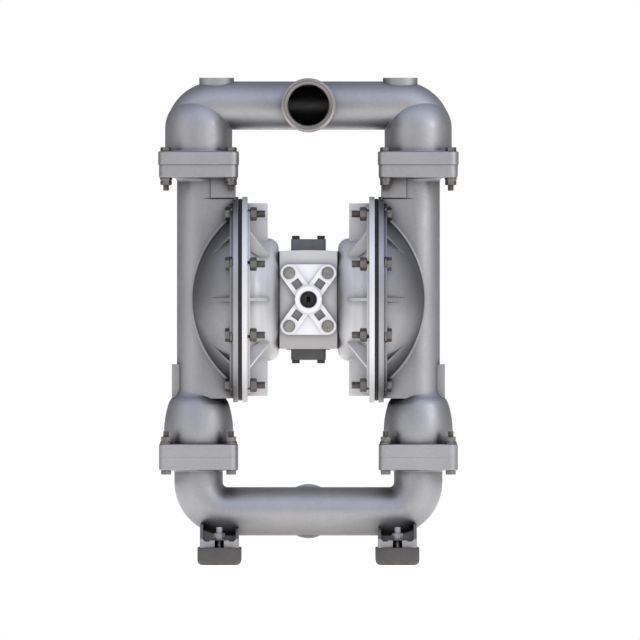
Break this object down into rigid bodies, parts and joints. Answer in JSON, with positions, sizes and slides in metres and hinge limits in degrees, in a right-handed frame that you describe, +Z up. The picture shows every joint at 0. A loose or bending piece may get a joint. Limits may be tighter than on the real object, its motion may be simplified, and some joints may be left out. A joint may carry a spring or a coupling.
{
  "type": "air operated diaphragm pump",
  "caption": "Bolted metal double diaphragm pump with ball check valves, a centre air valve, top and bottom manifolds and rubber feet.",
  "frame": {"origin": "middle of the pump's footprint, at the floor under the feet", "axes": "+X along the diaphragm shaft towards the right chamber, +Y towards the back (inlet port and air valve), +Z up; the discharge port and exhaust plate face -Y"},
  "size_m": [0.4042, 0.2768, 0.6555],
  "materials": {
    "cast_stainless": "satin cast grain",
    "cast_aluminium": "bright satin casting",
    "block_aluminium": "satin casting",
    "fastener_steel": "plain steel",
    "dark_cap": "dark grey satin",
    "polished_steel": "ground and polished",
    "bronze": "turned",
    "ptfe": "smooth white",
    "gasket": "matt",
    "black_rubber": "matt",
    "foot_rubber": "matt moulded"
  },
  "bodies": {
    "housing": {"air_chamber_left": "cast_aluminium", "air_chamber_right": "cast_aluminium", "air_chamber_screws": "fastener_steel", "air_valve_body": "dark_cap", "cap_screws": "dark_cap", "center_block": "block_aluminium", "chamber_bolts_left": "fastener_steel", "chamber_bolts_right": "fastener_steel", "chamber_nuts_left": "fastener_steel", "chamber_nuts_right": "fastener_steel", "chamber_washers_left": "fastener_steel", "chamber_washers_right": "fastener_steel", "diaphragm_left": "black_rubber", "diaphragm_right": "black_rubber", "discharge_flange_bolts": "fastener_steel", "discharge_flange_nuts": "fastener_steel", "discharge_flange_washers": "fastener_steel", "discharge_manifold": "cast_stainless", "end_cap_bottom": "dark_cap", "end_cap_top": "dark_cap", "end_gaskets": "gasket", "exhaust_plate": "cast_aluminium", "foot_nuts": "fastener_steel", "foot_studs": "fastener_steel", "foot_washers": "fastener_steel", "inlet_flange_bolts": "fastener_steel", "inlet_flange_nuts": "fastener_steel", "inlet_flange_washers": "fastener_steel", "inlet_manifold": "cast_stainless", "outer_chamber_left": "cast_stainless", "outer_chamber_right": "cast_stainless", "pilot_sleeve": "bronze", "plate_gasket": "gasket", "plate_screws": "fastener_steel", "rubber_feet": "foot_rubber", "seat_seals": "black_rubber", "shaft_bushings": "bronze", "shaft_seals": "ptfe", "valve_gasket": "gasket", "valve_screws": "fastener_steel", "valve_seats": "ptfe"},
    "shaft_assembly": {"main_shaft": "polished_steel", "inner_piston_left": "cast_aluminium", "inner_piston_right": "cast_aluminium", "outer_piston_left": "cast_stainless", "outer_piston_right": "cast_stainless"},
    "pilot": {"pilot_spool": "polished_steel"},
    "spool": {"valve_spool": "polished_steel"},
    "inlet_ball_left_body": {"inlet_ball_left": "ptfe"},
    "inlet_ball_right_body": {"inlet_ball_right": "ptfe"},
    "discharge_ball_left_body": {"discharge_ball_left": "ptfe"},
    "discharge_ball_right_body": {"discharge_ball_right": "ptfe"}
  },
  "joints": [
    {"name": "shaft_slide", "type": "slide", "parent": "housing", "child": "shaft_assembly", "axis": [1, 0, 0], "range_m": [-0.018, 0.018], "deforming": ["diaphragm_left", "diaphragm_right"]},
    {"name": "pilot_slide", "type": "slide", "parent": "housing", "child": "pilot", "axis": [1, 0, 0], "range_m": [-0.008, 0.008]},
    {"name": "spool_slide", "type": "slide", "parent": "housing", "child": "spool", "axis": [0, 0, 1], "range_m": [0, 0.016]},
    {"name": "inlet_ball_left_lift", "type": "slide", "parent": "housing", "child": "inlet_ball_left_body", "axis": [0, 0, 1], "range_m": [0, 0.014]},
    {"name": "inlet_ball_right_lift", "type": "slide", "parent": "housing", "child": "inlet_ball_right_body", "axis": [0, 0, 1], "range_m": [0, 0.014]},
    {"name": "discharge_ball_left_lift", "type": "slide", "parent": "housing", "child": "discharge_ball_left_body", "axis": [0, 0, 1], "range_m": [0, 0.014]},
    {"name": "discharge_ball_right_lift", "type": "slide", "parent": "housing", "child": "discharge_ball_right_body", "axis": [0, 0, 1], "range_m": [0, 0.014]}
  ],
  "couplings": [
    {"joint": "pilot_slide", "follows": "shaft_slide", "ratio": 0.4444}
  ]
}
